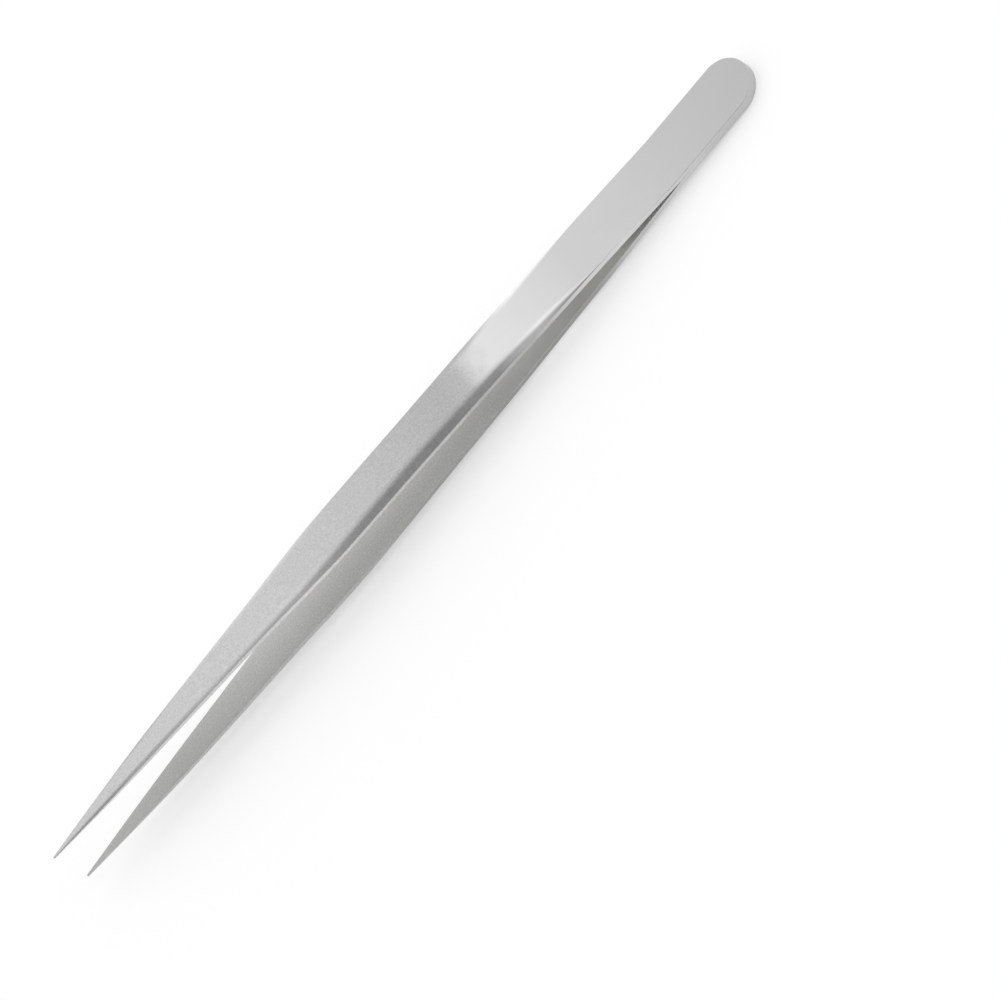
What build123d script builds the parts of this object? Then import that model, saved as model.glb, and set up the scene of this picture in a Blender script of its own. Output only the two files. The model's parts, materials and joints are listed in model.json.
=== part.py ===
from build123d import *
from math import atan2, cos, degrees, hypot, sin, tan
import os

# Fine tip precision tweezers: two steel leaves, welded flat to flat at the head and open everywhere else.
# All sizes are in millimetres. A leaf is shaped with X running from the head end to the point and Z in the
# direction in which the tweezers open. Z = 0 is then the plane where the two leaves lie on each other.

# Lengths along a leaf, one after the other from the head end
lap_length = 17.0        # flat lap where the two leaves are welded together
spring_length = 14.0     # thin leaf that flexes when the tweezers are squeezed
rise_length = 21.0       # leaf that thickens up to the bend
grip_length = 30.0       # stiff part under the fingers, from the bend to the shoulder
shoulder_length = 16.0   # sides drawing in
waist_length = 22.0      # slim taper
point_length = 20.0      # last taper down to the tip

# Widths of a leaf
head_width = 8.45
spring_width = 8.3       # at the front of the spring
rise_width = 8.22        # halfway along the rise
bend_width = 8.15
grip_width = 7.9         # halfway along the grip
shoulder_width = 7.8
neck_width = 7.05        # halfway along the shoulder
waist_width = 5.85
point_width = 3.45
needle_width = 2.05      # halfway along the point
tip_width = 0.3

# Thicknesses of a leaf, at the middle of its width
leaf_thickness = 0.73
spring_thickness = 0.84
rise_thickness = 1.25
bend_thickness = 1.5
grip_thickness = 1.82
shoulder_thickness = 1.55
neck_thickness = 1.38
waist_thickness = 1.15
point_thickness = 0.78
needle_thickness = 0.6
tip_thickness = 0.2

# Height of the square edge that stays below the ground flank
leaf_edge = 0.7
spring_edge = 0.8
rise_edge = 0.68
bend_edge = 0.66
grip_edge = 0.6
waist_edge = 0.65
point_edge = 0.54
needle_edge = 0.32
tip_edge = 0.14

# Width of the ground flank, seen square onto the leaf
leaf_flank = 0.03        # only a broken edge at the head and along the spring
rise_flank = 0.65
bend_flank = 1.15
grip_flank = 1.02
shoulder_flank = 1.0
neck_flank = 0.68
waist_flank = 0.5
point_flank = 0.46
needle_flank = 0.34
tip_flank = 0.07

# Radius that rounds the flank over into the outer face
leaf_round = 0.03
rise_round = 1.3
bend_round = 1.5         # the same from here to the waist
point_round = 0.65       # the same along the needle
tip_round = 0.1

# How far apart the two leaves stand when nobody squeezes them
bend_gap = 3.5           # between the inner faces at the bend
tip_gap = 7.45           # between the inner faces at the points
spring_bow = 0.1         # how far the rear bulges away from the other leaf
front_bow = 0.27         # how far the front bulges away from the other leaf
tip_clearance = 0.02     # what is left between the points when squeezed shut

# Spacing of the sections that carry the skin of a leaf
section_spacing = 4.0

# Most of the slant flank that its rounding may take up
most_rounded = 0.9

# Places along a leaf, worked out from the lengths
spring_end = lap_length + spring_length
rise_middle = spring_end + rise_length / 2
bend_place = spring_end + rise_length
grip_middle = bend_place + grip_length / 2
shoulder_place = bend_place + grip_length
neck_place = shoulder_place + shoulder_length / 2
waist_place = shoulder_place + shoulder_length
point_place = waist_place + waist_length
needle_place = point_place + point_length / 2
tip_place = point_place + point_length

# One row for each named place: place, width, thickness, square edge, flank, rounding of the flank
profile = [
    (lap_length, head_width, leaf_thickness, leaf_edge, leaf_flank, leaf_round),
    (spring_end, spring_width, spring_thickness, spring_edge, leaf_flank, leaf_round),
    (rise_middle, rise_width, rise_thickness, rise_edge, rise_flank, rise_round),
    (bend_place, bend_width, bend_thickness, bend_edge, bend_flank, bend_round),
    (grip_middle, grip_width, grip_thickness, grip_edge, grip_flank, bend_round),
    (shoulder_place, shoulder_width, shoulder_thickness, grip_edge, shoulder_flank, bend_round),
    (neck_place, neck_width, neck_thickness, waist_edge, neck_flank, bend_round),
    (waist_place, waist_width, waist_thickness, waist_edge, waist_flank, bend_round),
    (point_place, point_width, point_thickness, point_edge, point_flank, point_round),
    (needle_place, needle_width, needle_thickness, needle_edge, needle_flank, point_round),
    (tip_place, tip_width, tip_thickness, tip_edge, tip_flank, tip_round),
]

# The lap has the first row's sizes all along
leaf_sizes = profile[0][1:]


def tangent(steps, slopes, row):
    """Slope of the smooth curve at a row of the profile: a mean of its neighbours, or level at a turn."""
    if row == 0:
        return slopes[0]
    if row == len(steps):
        return slopes[-1]
    before, after = slopes[row - 1], slopes[row]
    if before * after <= 0:
        return 0.0
    return 2 * before * after / (before + after)


def sizes_at(place):
    """All sizes of the cross section at a place, on smooth curves through the rows of the profile."""
    steps = [after[0] - before[0] for before, after in zip(profile, profile[1:])]
    row = max(i for i in range(len(steps)) if profile[i][0] <= place)
    share = (place - profile[row][0]) / steps[row]
    ease = share * share * (3 - 2 * share)
    leave = share * (1 - share) ** 2 * steps[row]
    arrive = share * share * (share - 1) * steps[row]
    sizes = []
    for column in range(1, len(profile[0])):
        values = [line[column] for line in profile]
        slopes = [(values[i + 1] - values[i]) / steps[i] for i in range(len(steps))]
        curve = values[row] + (values[row + 1] - values[row]) * ease
        curve += leave * tangent(steps, slopes, row) + arrive * tangent(steps, slopes, row + 1)
        sizes.append(curve)
    return sizes


def bow(place, start, end, height):
    """Height at a place of a shallow arch that stands on start and end."""
    share = (place - start) / (end - start)
    return 4 * height * share * (1 - share)


def half_gap(place):
    """Height of a leaf's inner face above the plane where the leaves meet."""
    if place <= lap_length:
        return 0.0
    if place <= bend_place:
        rise = bend_gap / 2 * (place - lap_length) / (bend_place - lap_length)
        return rise + bow(place, lap_length, bend_place, spring_bow)
    share = (place - bend_place) / (tip_place - bend_place)
    rise = bend_gap / 2 + (tip_gap - bend_gap) / 2 * share
    return rise + bow(place, bend_place, tip_place, front_bow)


def over_the_flank(width, thickness, edge, flank, rounding):
    """Points from the top of the square edge, up the flank and over its rounding, to the outer face."""
    fall = atan2(thickness - edge, flank)
    slant = hypot(thickness - edge, flank)
    radius = min(rounding, most_rounded * slant / tan(fall / 2))
    reach = radius * tan(fall / 2)
    crest = width / 2 - flank
    return (
        (width / 2, edge),
        (crest + reach * cos(fall), thickness - reach * sin(fall)),
        (crest - reach + radius * sin(fall / 2), thickness - radius * (1 - cos(fall / 2))),
        (crest - reach, thickness),
    )


def half_section(*sizes):
    """Right half of a leaf's cross section."""
    edge_top, flank_top, over, rim = over_the_flank(*sizes)
    outline = Polyline((0, rim[1]), (0, 0), (edge_top[0], 0), edge_top, flank_top)
    outline += ThreePointArc(flank_top, over, rim)
    outline += Line(rim, (0, rim[1]))
    return make_face(outline)


def section(place, *sizes):
    """Whole cross section of a leaf, standing at its place along the leaf."""
    edge_top, flank_top, over, rim = over_the_flank(*sizes)
    side = Polyline((edge_top[0], 0), edge_top, flank_top)
    side += ThreePointArc(flank_top, over, rim)
    outline = side + mirror(side, about=Plane.YZ)
    outline += Line((-edge_top[0], 0), (edge_top[0], 0))
    outline += Line(rim, (-rim[0], rim[1]))
    standing = Plane(origin=(place, 0, half_gap(place)), x_dir=(0, 1, 0), z_dir=(1, 0, 0))
    return standing * make_face(outline)


def lap():
    """Flat rear end of a leaf: a full round end and a straight strip up to the front of the weld."""
    radius = head_width / 2
    standing = Plane(origin=(radius, 0, 0), x_dir=(0, 1, 0), z_dir=(1, 0, 0))
    half = standing * half_section(*leaf_sizes)
    round_end = revolve(half, axis=Axis((radius, 0, 0), (0, 0, 1)), revolution_arc=180)
    strip = section(radius, *leaf_sizes)
    return round_end + extrude(strip, amount=lap_length - radius, dir=(1, 0, 0))


def limb():
    """The rest of a leaf, from the weld to the tip: one smooth skin over closely spaced sections."""
    count = round((tip_place - lap_length) / section_spacing)
    spacing = (tip_place - lap_length) / count
    places = [lap_length + spacing * i for i in range(count)] + [tip_place]
    return loft([section(place, *sizes_at(place)) for place in places])


def resting_tilt():
    """Angle of the line under a leaf that touches both the head end and the belly of the outer face."""
    rim = head_width / 2 - over_the_flank(*leaf_sizes)[-1][0]
    steepest = 0.0
    tries = 1000
    for i in range(tries):
        place = lap_length + (tip_place - lap_length) * i / tries
        drop = half_gap(place) + sizes_at(place)[1] - leaf_thickness
        steepest = max(steepest, atan2(drop, place - rim))
    return degrees(steepest)


# Both leaves are alike, and the lower one is the upper one turned over
upper_leaf = lap() + limb()
lower_leaf = mirror(upper_leaf, about=Plane.XY)

# Laid down on the lower leaf, on its head end and belly, and centred over the origin
tilt = resting_tilt()
laid = [Rot(0, -tilt, 0) * leaf for leaf in (lower_leaf, upper_leaf)]
box = laid[0].bounding_box().add(laid[1].bounding_box())
shift_x = -(box.min.X + box.max.X) / 2
shift_z = -box.min.Z
lower_arm, upper_arm = [Pos(shift_x, 0, shift_z) * leaf for leaf in laid]

# Where the squeeze turns the upper leaf, and how far until the points nearly touch
hinge = Pos(shift_x, 0, shift_z) * Rot(0, -tilt, 0) * Pos(lap_length, 0, 0)
squeeze = degrees((tip_gap - tip_clearance) / (tip_place - lap_length))
print(f"tilt {tilt:.4f} degrees, hinge at {hinge.position}, squeeze {squeeze:.3f} degrees")

os.makedirs("parts", exist_ok=True)
export_step(lower_arm, "parts/lower_arm.step")
export_step(upper_arm, "parts/upper_arm.step")
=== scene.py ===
import json
import math
import bpy
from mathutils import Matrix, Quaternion, Vector


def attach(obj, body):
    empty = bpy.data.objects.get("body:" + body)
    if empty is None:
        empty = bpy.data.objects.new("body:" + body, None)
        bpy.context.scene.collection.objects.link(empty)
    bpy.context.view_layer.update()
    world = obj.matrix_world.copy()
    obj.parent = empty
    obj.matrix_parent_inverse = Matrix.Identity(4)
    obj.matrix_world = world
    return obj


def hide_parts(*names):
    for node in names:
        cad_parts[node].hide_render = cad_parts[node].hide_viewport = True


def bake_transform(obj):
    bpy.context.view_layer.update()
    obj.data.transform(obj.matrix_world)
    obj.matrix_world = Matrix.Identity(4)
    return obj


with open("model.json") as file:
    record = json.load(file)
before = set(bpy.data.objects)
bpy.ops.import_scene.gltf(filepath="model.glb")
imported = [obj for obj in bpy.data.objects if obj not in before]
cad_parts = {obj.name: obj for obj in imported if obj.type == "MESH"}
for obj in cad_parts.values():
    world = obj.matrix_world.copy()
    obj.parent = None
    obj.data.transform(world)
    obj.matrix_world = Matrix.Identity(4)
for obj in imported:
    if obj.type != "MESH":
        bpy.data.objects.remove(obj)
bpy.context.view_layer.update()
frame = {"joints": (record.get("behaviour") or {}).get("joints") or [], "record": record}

# The lower leaf: one strip of stainless steel, ground to shape, satin at the head and bead-blasted in front
# of the bend. It lies on the table on its head end and on the belly of its grip. A leaf is described along
# its own length from the head end, across it, and in height above its flat inner face.
hinge = frame["joints"][0]
meeting_point = Vector(hinge["pos_m"])
opening = Vector(next(m["axis"] for m in frame["record"]["mounts"] if m["name"] == "lap_top_face"))
across = Vector((0, 1, 0))
along = across.cross(opening)

mm = 0.001
lap_end = 17.0 * mm
spring_end = 31.0 * mm
rise_middle = 41.5 * mm
bend = 52.0 * mm
grip_middle = 67.0 * mm
shoulder = 82.0 * mm
neck = 90.0 * mm
waist = 98.0 * mm
point = 120.0 * mm
needle = 130.0 * mm
tip = 140.0 * mm
head_radius = 4.225 * mm

# One row for each place: place, width, thickness, square edge, flank and rounding of the flank
profile = [
    (lap_end, 8.45 * mm, 0.73 * mm, 0.7 * mm, 0.03 * mm, 0.03 * mm),
    (spring_end, 8.3 * mm, 0.84 * mm, 0.8 * mm, 0.03 * mm, 0.03 * mm),
    (rise_middle, 8.22 * mm, 1.25 * mm, 0.68 * mm, 0.65 * mm, 1.3 * mm),
    (bend, 8.15 * mm, 1.5 * mm, 0.66 * mm, 1.15 * mm, 1.5 * mm),
    (grip_middle, 7.9 * mm, 1.82 * mm, 0.6 * mm, 1.02 * mm, 1.5 * mm),
    (shoulder, 7.8 * mm, 1.55 * mm, 0.6 * mm, 1.0 * mm, 1.5 * mm),
    (neck, 7.05 * mm, 1.38 * mm, 0.65 * mm, 0.68 * mm, 1.5 * mm),
    (waist, 5.85 * mm, 1.15 * mm, 0.65 * mm, 0.5 * mm, 1.5 * mm),
    (point, 3.45 * mm, 0.78 * mm, 0.54 * mm, 0.46 * mm, 0.65 * mm),
    (needle, 2.05 * mm, 0.6 * mm, 0.32 * mm, 0.34 * mm, 0.65 * mm),
    (tip, 0.3 * mm, 0.2 * mm, 0.14 * mm, 0.07 * mm, 0.1 * mm),
]
bend_gap = 3.5 * mm
tip_gap = 7.45 * mm
spring_bow = 0.1 * mm
front_bow = 0.27 * mm


def slope_at(steps, slopes, row):
    """Slope of the smooth curve at a row of the profile: a mean of its neighbours, or level at a turn."""
    if row == 0 or row == len(steps):
        return slopes[min(row, len(steps) - 1)]
    before, after = slopes[row - 1], slopes[row]
    return 2 * before * after / (before + after) if before * after > 0 else 0.0


def sizes_at(place):
    """All sizes of the cross section at a place, on smooth curves through the rows of the profile."""
    place = max(place, lap_end)
    steps = [after[0] - before[0] for before, after in zip(profile, profile[1:])]
    row = max(i for i in range(len(steps)) if profile[i][0] <= place)
    share = (place - profile[row][0]) / steps[row]
    ease = share * share * (3 - 2 * share)
    leave = share * (1 - share) ** 2 * steps[row]
    arrive = share * share * (share - 1) * steps[row]
    sizes = []
    for column in range(1, len(profile[0])):
        values = [line[column] for line in profile]
        slopes = [(values[i + 1] - values[i]) / steps[i] for i in range(len(steps))]
        curve = values[row] + (values[row + 1] - values[row]) * ease
        curve += leave * slope_at(steps, slopes, row) + arrive * slope_at(steps, slopes, row + 1)
        sizes.append(curve)
    return sizes


def half_gap(place):
    """Height of a leaf's inner face above the plane where the leaves meet."""
    if place <= lap_end:
        return 0.0
    if place <= bend:
        share = (place - lap_end) / (bend - lap_end)
        return bend_gap / 2 * share + 4 * spring_bow * share * (1 - share)
    share = (place - bend) / (tip - bend)
    return (bend_gap + (tip_gap - bend_gap) * share) / 2 + 4 * front_bow * share * (1 - share)


# Small radii left on the edges by tumbling: none to speak of where the leaves are flush at the lap
flush_radius = 0.008 * mm
inner_radius = 0.07 * mm
shoulder_radius = 0.05 * mm
flush_margin = 3 * mm    # behind and before the lap's front edge, where the radii grow to their full size

# Limits of the radii, as shares of the height of the square edge, of the width, and of the slant flank
most_of_edge = 0.3
most_of_width = 0.2
most_of_slant = 0.2
least_of_slant = 0.02
most_rounded = 0.9

inner_steps = 5
shoulder_steps = 3
flank_steps = 4
rounding_steps = 8


def smooth(value, low, high):
    """Smooth step from 0 at low to 1 at high."""
    share = min(max((value - low) / (high - low), 0.0), 1.0)
    return share * share * (3 - 2 * share)


def side_outline(place):
    """One side of the cross section, from inner face to outer face, as (inset from the side, height)."""
    width, thickness, edge, flank, rounding = sizes_at(place)
    fall = math.atan2(thickness - edge, flank)
    slant = math.hypot(thickness - edge, flank)
    opened = smooth(place, lap_end - flush_margin, lap_end + flush_margin)
    radius = flush_radius + (inner_radius - flush_radius) * opened
    radius = min(radius, most_of_edge * edge, most_of_width * width)
    points = []
    for i in range(inner_steps + 1):
        turn = math.pi / 2 * i / inner_steps
        points.append((radius * (1 - math.sin(turn)), radius * (1 - math.cos(turn))))
    soft = min(shoulder_radius * opened, most_of_slant * slant, most_of_edge * edge)
    soft = max(soft * math.tan((math.pi / 2 - fall) / 2), least_of_slant * slant)
    for i in range(shoulder_steps + 1):
        share = i / shoulder_steps
        down, up = (1 - share) ** 2, share**2
        points.append((up * soft * math.cos(fall), edge - down * soft + up * soft * math.sin(fall)))
    rounded = min(rounding, most_rounded * slant / math.tan(fall / 2))
    reach = rounded * math.tan(fall / 2)
    flank_top = (flank - reach * math.cos(fall), thickness - reach * math.sin(fall))
    flank_foot = points[-1]
    for i in range(1, flank_steps + 1):
        share = i / flank_steps
        points.append(tuple(foot + (top - foot) * share for foot, top in zip(flank_foot, flank_top)))
    for i in range(1, rounding_steps + 1):
        turn = fall * (1 - i / rounding_steps)
        inset = flank + reach - rounded * math.sin(turn)
        points.append((inset, thickness - rounded * (1 - math.cos(turn))))
    return points


head_steps = 56
limb_spacing = 0.4 * mm
tip_rounding = 0.12 * mm
tip_end = 0.08           # size of the very last cross section, as a share of the full one
tip_steps = 8


def stations():
    """Places of the cross sections from head end to tip, as (place, angle round the head end, shrink)."""
    places = [(head_radius, math.pi / 2 * i / head_steps, 1.0) for i in range(head_steps + 1)]
    count = round((tip - tip_rounding - head_radius) / limb_spacing)
    step = (tip - tip_rounding - head_radius) / count
    places += [(head_radius + step * i, None, 1.0) for i in range(1, count + 1)]
    for i in range(1, tip_steps + 1):
        turn = math.pi / 2 * i / tip_steps
        places.append((tip - tip_rounding * (1 - math.sin(turn)), None, max(math.cos(turn), tip_end)))
    return places


def leaf_points():
    """The right side of every cross section of a leaf, as (place, offset across, height)."""
    rings = []
    for place, angle, shrink in stations():
        width, thickness = sizes_at(place)[:2]
        ring = []
        for inset, height in side_outline(place):
            if angle is None:
                spot = (place, (width / 2 - inset) * shrink)
            else:
                radius = head_radius - inset
                spot = (head_radius - radius * math.cos(angle), radius * math.sin(angle))
            ring.append((*spot, (height - thickness / 2) * shrink + thickness / 2))
        rings.append(ring)
    return rings


# Strips that each flat face is split into
face_steps = 6

# For each point of a side: how much it is square edge, ground flank, and worn corner
face_zone = (0.0, 0.0, 0.0)
wall_from = inner_steps
flank_from = inner_steps + 1 + shoulder_steps
ring_zones = []
ring_count = flank_from + 1 + flank_steps + rounding_steps
for i in range(ring_count):
    on_wall = 1.0 if wall_from <= i <= wall_from + 1 else 0.0
    on_flank = min(1.0, (ring_count - 1 - i) / rounding_steps) if i >= flank_from else 0.0
    on_corner = 1.0 if 1 <= i <= inner_steps - 1 or wall_from + 1 < i < flank_from else 0.0
    ring_zones.append((on_wall, on_flank, on_corner))


def closed_ring(ring):
    """All points round one cross section with their zones: right side, outer face, left side, inner face."""
    right = list(zip(ring, ring_zones))
    left = [((x, -y, z), zone) for (x, y, z), zone in reversed(right)]
    inner_rim = ring[0]
    outer_rim = ring[-1]
    outer = []
    inner = []
    for i in range(1, face_steps):
        share = 1 - 2 * i / face_steps
        outer.append(((outer_rim[0], outer_rim[1] * share, outer_rim[2]), face_zone))
        inner.append(((inner_rim[0], -inner_rim[1] * share, inner_rim[2]), face_zone))
    return right + outer + left + inner


def make_leaf(name, side):
    """Skins one leaf. Side is 1 for the leaf above the plane where they meet and -1 for the one below."""
    numbers = {}
    zones = []
    faces = []
    previous = []
    for ring in leaf_points():
        loop = []
        for spot, zone in closed_ring(ring):
            if spot not in numbers:
                numbers[spot] = len(zones)
                zones.append(zone)
            loop.append(numbers[spot])
        for i in range(len(previous)):
            j = (i + 1) % len(loop)
            corners = list(dict.fromkeys([previous[i], loop[i], loop[j], previous[j]]))
            if len(corners) > 2:
                faces.append(corners)
        previous = loop
    faces.append(previous[::-1])
    own = list(numbers)
    spots = []
    for x, y, z in own:
        height = side * (half_gap(x) + z)
        spots.append(meeting_point + along * (x - lap_end) + across * y + opening * height)
    mesh = bpy.data.meshes.new(name)
    mesh.from_pydata(spots, [], faces)
    attribute = mesh.attributes.new("leaf_place", "FLOAT_VECTOR", "POINT")
    attribute.data.foreach_set("vector", [value for spot in own for value in spot])
    attribute = mesh.attributes.new("leaf_side", "FLOAT", "POINT")
    attribute.data.foreach_set("value", [side] * len(own))
    attribute = mesh.attributes.new("leaf_zones", "FLOAT_VECTOR", "POINT")
    attribute.data.foreach_set("vector", [value for zone in zones for value in zone])
    if side > 0:
        mesh.flip_normals()
    mesh.polygons.foreach_set("use_smooth", [True] * len(mesh.polygons))
    leaf = bpy.data.objects.new(name, mesh)
    bpy.context.scene.collection.objects.link(leaf)
    weighted = leaf.modifiers.new("flat faces stay flat", "WEIGHTED_NORMAL")
    weighted.mode = "FACE_AREA"
    weighted.weight = 100
    return leaf


class Shade:
    """One output of a material's nodes. Arithmetic adds Math nodes, and node() adds any other node."""

    def __init__(self, tree, socket=None):
        self.tree = tree
        self.socket = socket

    def node(self, kind, settings=None, inputs=None, output=0):
        made = self.tree.nodes.new(kind)
        for name, value in (settings or {}).items():
            if name == "stops":
                ramp = made.color_ramp
                while len(ramp.elements) < len(value):
                    ramp.elements.new(1.0)
                for element, (spot, grey) in zip(ramp.elements, value):
                    element.position = spot
                    element.color = (grey, grey, grey, 1)
            else:
                setattr(made, name, value)
        for name, value in (inputs or {}).items():
            if isinstance(value, Shade):
                self.tree.links.new(value.socket, made.inputs[name])
            else:
                made.inputs[name].default_value = value
        return Shade(self.tree, made.outputs[output] if made.outputs else None)

    def maths(self, operation, *values):
        return self.node("ShaderNodeMath", {"operation": operation}, dict(enumerate(values)))

    def __add__(self, other):
        return self.maths("ADD", self, other)

    def __sub__(self, other):
        return self.maths("SUBTRACT", self, other)

    def __rsub__(self, other):
        return self.maths("SUBTRACT", other, self)

    def __mul__(self, other):
        return self.maths("MULTIPLY", self, other)

    __radd__ = __add__
    __rmul__ = __mul__

    def clamped(self):
        return self.node("ShaderNodeClamp", inputs={"Value": self})

    def parts(self):
        """The three numbers of a vector."""
        made = self.node("ShaderNodeSeparateXYZ", inputs={"Vector": self}).socket.node
        return [Shade(self.tree, made.outputs[axis]) for axis in ("X", "Y", "Z")]

    def scaled(self, factors):
        """A vector, stretched by one factor for each axis."""
        return self.node("ShaderNodeVectorMath", {"operation": "MULTIPLY"}, {0: self, 1: factors})

    def noise(self, vector, scale, detail):
        return self.node("ShaderNodeTexNoise", inputs={"Vector": vector, "Scale": scale, "Detail": detail})

    def step(self, low, high):
        """Smooth step of this value from 0 at low to 1 at high."""
        inputs = {"Value": self, "From Min": low, "From Max": high}
        return self.node("ShaderNodeMapRange", {"interpolation_type": "SMOOTHSTEP"}, inputs)

    def ramp(self, stops):
        """Grey that runs through the stops, each a value and its grey."""
        return self.node("ShaderNodeValToRGB", {"stops": stops}, {"Fac": self})

    def mix(self, low, high):
        """Colour low where this value is 0 and high where it is 1."""
        sides = [side if isinstance(side, Shade) else (*side, 1) for side in (low, high)]
        inputs = {"Factor": self, 6: sides[0], 7: sides[1]}
        return self.node("ShaderNodeMix", {"data_type": "RGBA"}, inputs, output=2)

    def tinted(self, light):
        """This colour, lightened or darkened by a number around 1."""
        return self.node("ShaderNodeVectorMath", {"operation": "SCALE"}, {"Vector": self, "Scale": light})


def new_material(name):
    material = bpy.data.materials.new(name)
    material.use_nodes = True
    material.node_tree.nodes.clear()
    return material, Shade(material.node_tree)


# Greys of the steel from the head end to the tip, as (share of the length, grey). Besides the satin and
# blasted finish
# they hold painted light and shade: the satin face is painted lighter towards the bend, as a painted
# highlight, and the blasted face is painted darker just past the bend, as painted shade.
satin_tones_with_painted_highlight = [(0.0, 0.46), (0.1, 0.5), (0.16, 0.54), (0.25, 0.57), (0.3, 0.64), (0.36, 0.69), (0.5, 0.69)]
blasted_tones_with_painted_shade = [(0.3, 0.5), (0.39, 0.49), (0.405, 0.475), (0.425, 0.45), (0.46, 0.47), (0.52, 0.51)]
blasted_tones_with_painted_shade += [(0.6, 0.545), (0.68, 0.57)]
# The inner faces are painted lighter near the head, as painted light in the shade between the leaves, and
# darker towards the tip.
inner_tones_with_painted_light = [(0.0, 0.9), (0.22, 0.9), (0.28, 0.77), (0.35, 0.73), (0.42, 0.7), (0.56, 0.665)]
inner_tones_with_painted_light += [(0.7, 0.6), (0.86, 0.485)]
# The square edges are painted lighter and darker along their length, as painted light and shade
upper_edge_painted_light_and_shade = [(0.0, 0.58), (0.06, 0.62), (0.12, 0.7), (0.2, 0.78), (0.25, 0.76), (0.33, 0.45)]
upper_edge_painted_light_and_shade += [(0.37, 0.45), (0.43, 0.62), (0.55, 0.69), (0.64, 0.82), (0.72, 0.72)]

# The square edges of the lower leaf are painted darker than those of the upper one, as painted shade
lower_edge_painted_shade = [(0.0, 0.58), (0.06, 0.62), (0.12, 0.7), (0.2, 0.6), (0.25, 0.36), (0.31, 0.28)]
lower_edge_painted_shade += [(0.37, 0.31), (0.42, 0.43), (0.5, 0.4), (0.57, 0.5), (0.65, 0.54), (0.8, 0.55)]
inner_tint = (1.0, 1.0, 0.985)
corner_tone = (0.74, 0.74, 0.73)
edge_cover = 0.8
corner_cover = 0.35

# Painted light and shade on the ground flank: how much darker (below 0.5) or lighter (above it) it is
# painted than the outer face beside it
flank_painted_light_and_shade = [(0.0, 0.5), (0.2, 0.6), (0.24, 1.0), (0.31, 1.0), (0.34, 0.58), (0.355, 0.38), (0.37, 0.2)]
flank_painted_light_and_shade += [(0.385, 0.3), (0.405, 0.48), (0.44, 0.48), (0.54, 0.44), (0.6, 0.58), (0.65, 0.88)]
flank_painted_light_and_shade += [(0.7, 0.72), (0.78, 0.58), (0.86, 0.3), (0.93, 0.42)]

# What lies this close to the inner plane of a leaf is its inner face
inner_depth = 0.05 * mm

# The blasted finish sets in at the bend, along a border that wavers
blasted_from = 51.2 * mm
blasted_to = 55.8 * mm
border_waver = 6 * mm

# How finely each mark is strewn, per metre of steel
waver_scale = 260.0
cloud_scale = 120.0
streak_scale = 1500.0
pore_scale = 3600.0
pore_share = 0.7
fine_pore_scale = 9000.0
fine_pore_share = 0.5
streak_stretch = (0.12, 1.0, 1.0)

# How strongly each mark shows in the colour. Streaks show on satin only, and grain mostly where blasted.
cloud_light = 0.06
streak_light = 0.03
satin_grain_light = 0.03
blasted_grain_light = 0.62

# The same for the relief, and how deep that is
streak_relief = 0.12
satin_grain_relief = 0.05
blasted_grain_relief = 0.95
relief_strength = 0.4
relief_depth = 0.04 * mm

# Roughness of the satin face, and what each other zone and the clouds add to it
satin_roughness = 0.36
blasted_adds = 0.15
inner_adds = 0.12
cloud_adds = 0.06
corner_takes = 0.06

steel, shade = new_material("leaf_steel")
place_on_leaf = shade.node("ShaderNodeAttribute", {"attribute_name": "leaf_place"}, output="Vector")
place, off_middle, height = place_on_leaf.parts()
zones = shade.node("ShaderNodeAttribute", {"attribute_name": "leaf_zones"}, output="Vector")
wall, flank, corner = zones.parts()
upper = shade.node("ShaderNodeAttribute", {"attribute_name": "leaf_side"}, output="Fac").clamped()
inner = (1 - height.step(0.0, inner_depth)) * (1 - corner)
waver = shade.noise(place_on_leaf, waver_scale, 3.0)
blasted = (place + (waver - 0.5) * border_waver).step(blasted_from, blasted_to)

clouds = shade.noise(place_on_leaf, cloud_scale, 2.0)
streaks = shade.noise(place_on_leaf.scaled(streak_stretch), streak_scale, 2.0)
pores = shade.noise(place_on_leaf, pore_scale, 2.0)
fine_pores = shade.noise(place_on_leaf, fine_pore_scale, 1.0)
grain = (pores - 0.5) * pore_share + (fine_pores - 0.5) * fine_pore_share

share = place * (1 / tip)
# Satin and blasted greys, with their painted highlight before the bend and painted shade past it
tone = blasted.mix(share.ramp(satin_tones_with_painted_highlight), share.ramp(blasted_tones_with_painted_shade))
tone = inner.mix(tone, share.ramp(inner_tones_with_painted_light).scaled(inner_tint))
# Painted light and shade on the square edges, darker on the lower leaf
edge_tone = upper.mix(share.ramp(lower_edge_painted_shade), share.ramp(upper_edge_painted_light_and_shade))
tone = (wall * edge_cover).mix(tone, edge_tone)
tone = (corner * corner_cover).mix(tone, corner_tone)
# The flank's painted light and shade, and the clouds, grain and streaks of the steel
light = 1 + (share.ramp(flank_painted_light_and_shade) - 0.5) * flank + (clouds - 0.5) * cloud_light
light = light + grain * (satin_grain_light + blasted_grain_light * blasted)
light = light + (streaks - 0.5) * streak_light * (1 - blasted)
colour = tone.tinted(light)
relief = grain * (satin_grain_relief + blasted_grain_relief * blasted)
relief = relief + (streaks - 0.5) * streak_relief * (1 - blasted)
bump_inputs = {"Strength": relief_strength, "Distance": relief_depth, "Height": relief}
bump = shade.node("ShaderNodeBump", inputs=bump_inputs)
roughness = satin_roughness + blasted_adds * blasted + inner_adds * inner
roughness = roughness + (clouds - 0.5) * cloud_adds - corner_takes * corner
bsdf = shade.node(
    "ShaderNodeBsdfPrincipled",
    inputs={"Base Color": colour, "Metallic": 1.0, "Roughness": roughness, "Normal": bump},
)
shade.node("ShaderNodeOutputMaterial", inputs={"Surface": bsdf})

lower_leaf = make_leaf("lower_leaf", -1)
lower_leaf.data.materials.append(steel)
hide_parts("lower_arm")
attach(lower_leaf, "lower_arm")

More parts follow.
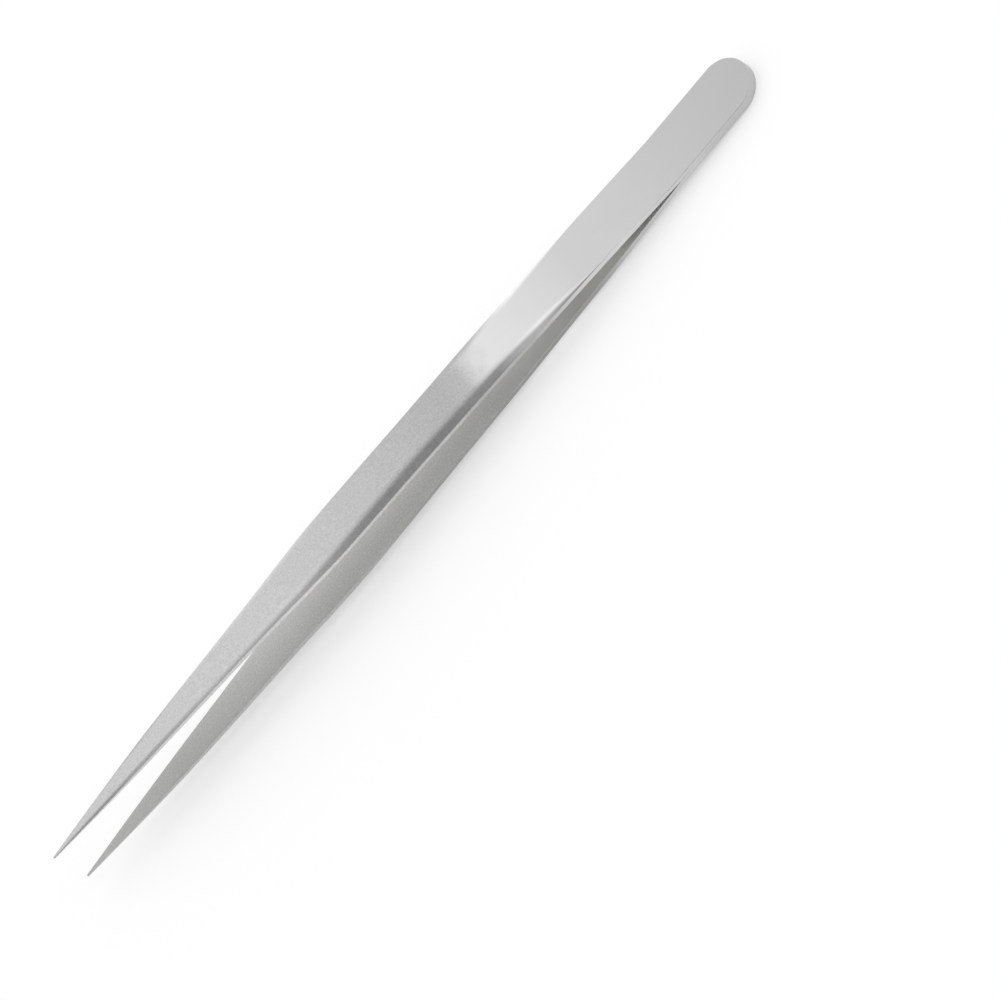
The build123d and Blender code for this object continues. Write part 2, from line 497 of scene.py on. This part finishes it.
# The upper leaf: the same strip turned over, of the same steel. It is welded flat to the lower leaf at the
# head, and its spring bends when the tweezers are squeezed.
upper_leaf = make_leaf("upper_leaf", 1)
upper_leaf.data.materials.append(steel)
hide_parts("upper_arm")
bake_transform(upper_leaf)

# The table that the tweezers lie on: a wide sheet of matt white board.
table_size = 12.0
speckle_scale = 60.0
board_low = (0.60, 0.60, 0.60)
board_high = (0.61, 0.61, 0.61)
board_lift = 0.44        # light that the board adds of its own where it is looked at, so that it stays white

board, paint = new_material("white_board")
speckle = paint.noise(paint.node("ShaderNodeTexCoord", output="Object"), speckle_scale, 4.0)
board_tone = speckle.mix(board_low, board_high)
matt = paint.node("ShaderNodeBsdfDiffuse", inputs={"Color": board_tone})
rays = paint.node("ShaderNodeLightPath").socket.node
seen = Shade(board.node_tree, rays.outputs["Is Camera Ray"])
for kind in ("Is Glossy Ray", "Is Transmission Ray"):
    seen = seen + Shade(board.node_tree, rays.outputs[kind])
lift_inputs = {"Color": (1, 1, 1, 1), "Strength": seen.clamped() * board_lift}
lift = paint.node("ShaderNodeEmission", inputs=lift_inputs)
both = paint.node("ShaderNodeAddShader", inputs={0: matt, 1: lift})
paint.node("ShaderNodeOutputMaterial", inputs={"Surface": both})

half_table = table_size / 2
table_mesh = bpy.data.meshes.new("table")
corners = [(-half_table, -half_table, 0), (half_table, -half_table, 0)]
corners += [(half_table, half_table, 0), (-half_table, half_table, 0)]
table_mesh.from_pydata(corners, [], [(0, 1, 2, 3)])
table_mesh.materials.append(board)
table = bpy.data.objects.new("table", table_mesh)
bpy.context.scene.collection.objects.link(table)

# The light: a bright soft studio on the far side of the tweezers and overhead, and a darker room low
# down on the side that they are looked at from.
dark_way = (0.2, 0.9, 0.38)
dark_from = 0.45
dark_full = 0.98
skyline_from = -0.05
skyline_full = 0.3
bright_room = 1.12
dark_takes = 0.95

world = bpy.data.worlds.new("studio")
bpy.context.scene.world = world
world.use_nodes = True
world.node_tree.nodes.clear()
room = Shade(world.node_tree)
direction = room.node("ShaderNodeTexCoord", output="Generated")
x_part, y_part, z_part = direction.parts()
towards_dark = dark_way[0] * x_part + dark_way[1] * y_part + dark_way[2] * z_part
dark = towards_dark.step(dark_from, dark_full) * z_part.step(skyline_from, skyline_full)
camera_ray = room.node("ShaderNodeLightPath", output="Is Camera Ray")
strength = camera_ray + (1 - camera_ray) * (bright_room - dark_takes * dark)
sky = room.node("ShaderNodeBackground", inputs={"Color": (1, 1, 1, 1), "Strength": strength})
room.node("ShaderNodeOutputWorld", inputs={"Surface": sky})

# The camera: far off with a long lens, at the photograph's angle and roll.
to_camera = Vector((-0.197374, 0.634814, 0.747031)).normalized()
aim = Vector((-0.006411, 0.015911, 0.004))
camera_roll = math.radians(64.7872)
camera_distance = 3.0
frame_width = 0.131379
camera_data = bpy.data.cameras.new("camera")
camera_data.sensor_width = 36.0
camera_data.lens = camera_data.sensor_width * camera_distance / frame_width
camera_data.clip_start = 0.1
camera_data.clip_end = 100.0
camera = bpy.data.objects.new("camera", camera_data)
bpy.context.scene.collection.objects.link(camera)
camera.location = aim + to_camera * camera_distance
camera.rotation_mode = "QUATERNION"
camera.rotation_quaternion = to_camera.to_track_quat("Z", "Y")
camera.rotation_quaternion.rotate(Quaternion(to_camera, -camera_roll))
bpy.context.scene.camera = camera
bpy.context.scene.view_settings.view_transform = "Standard"
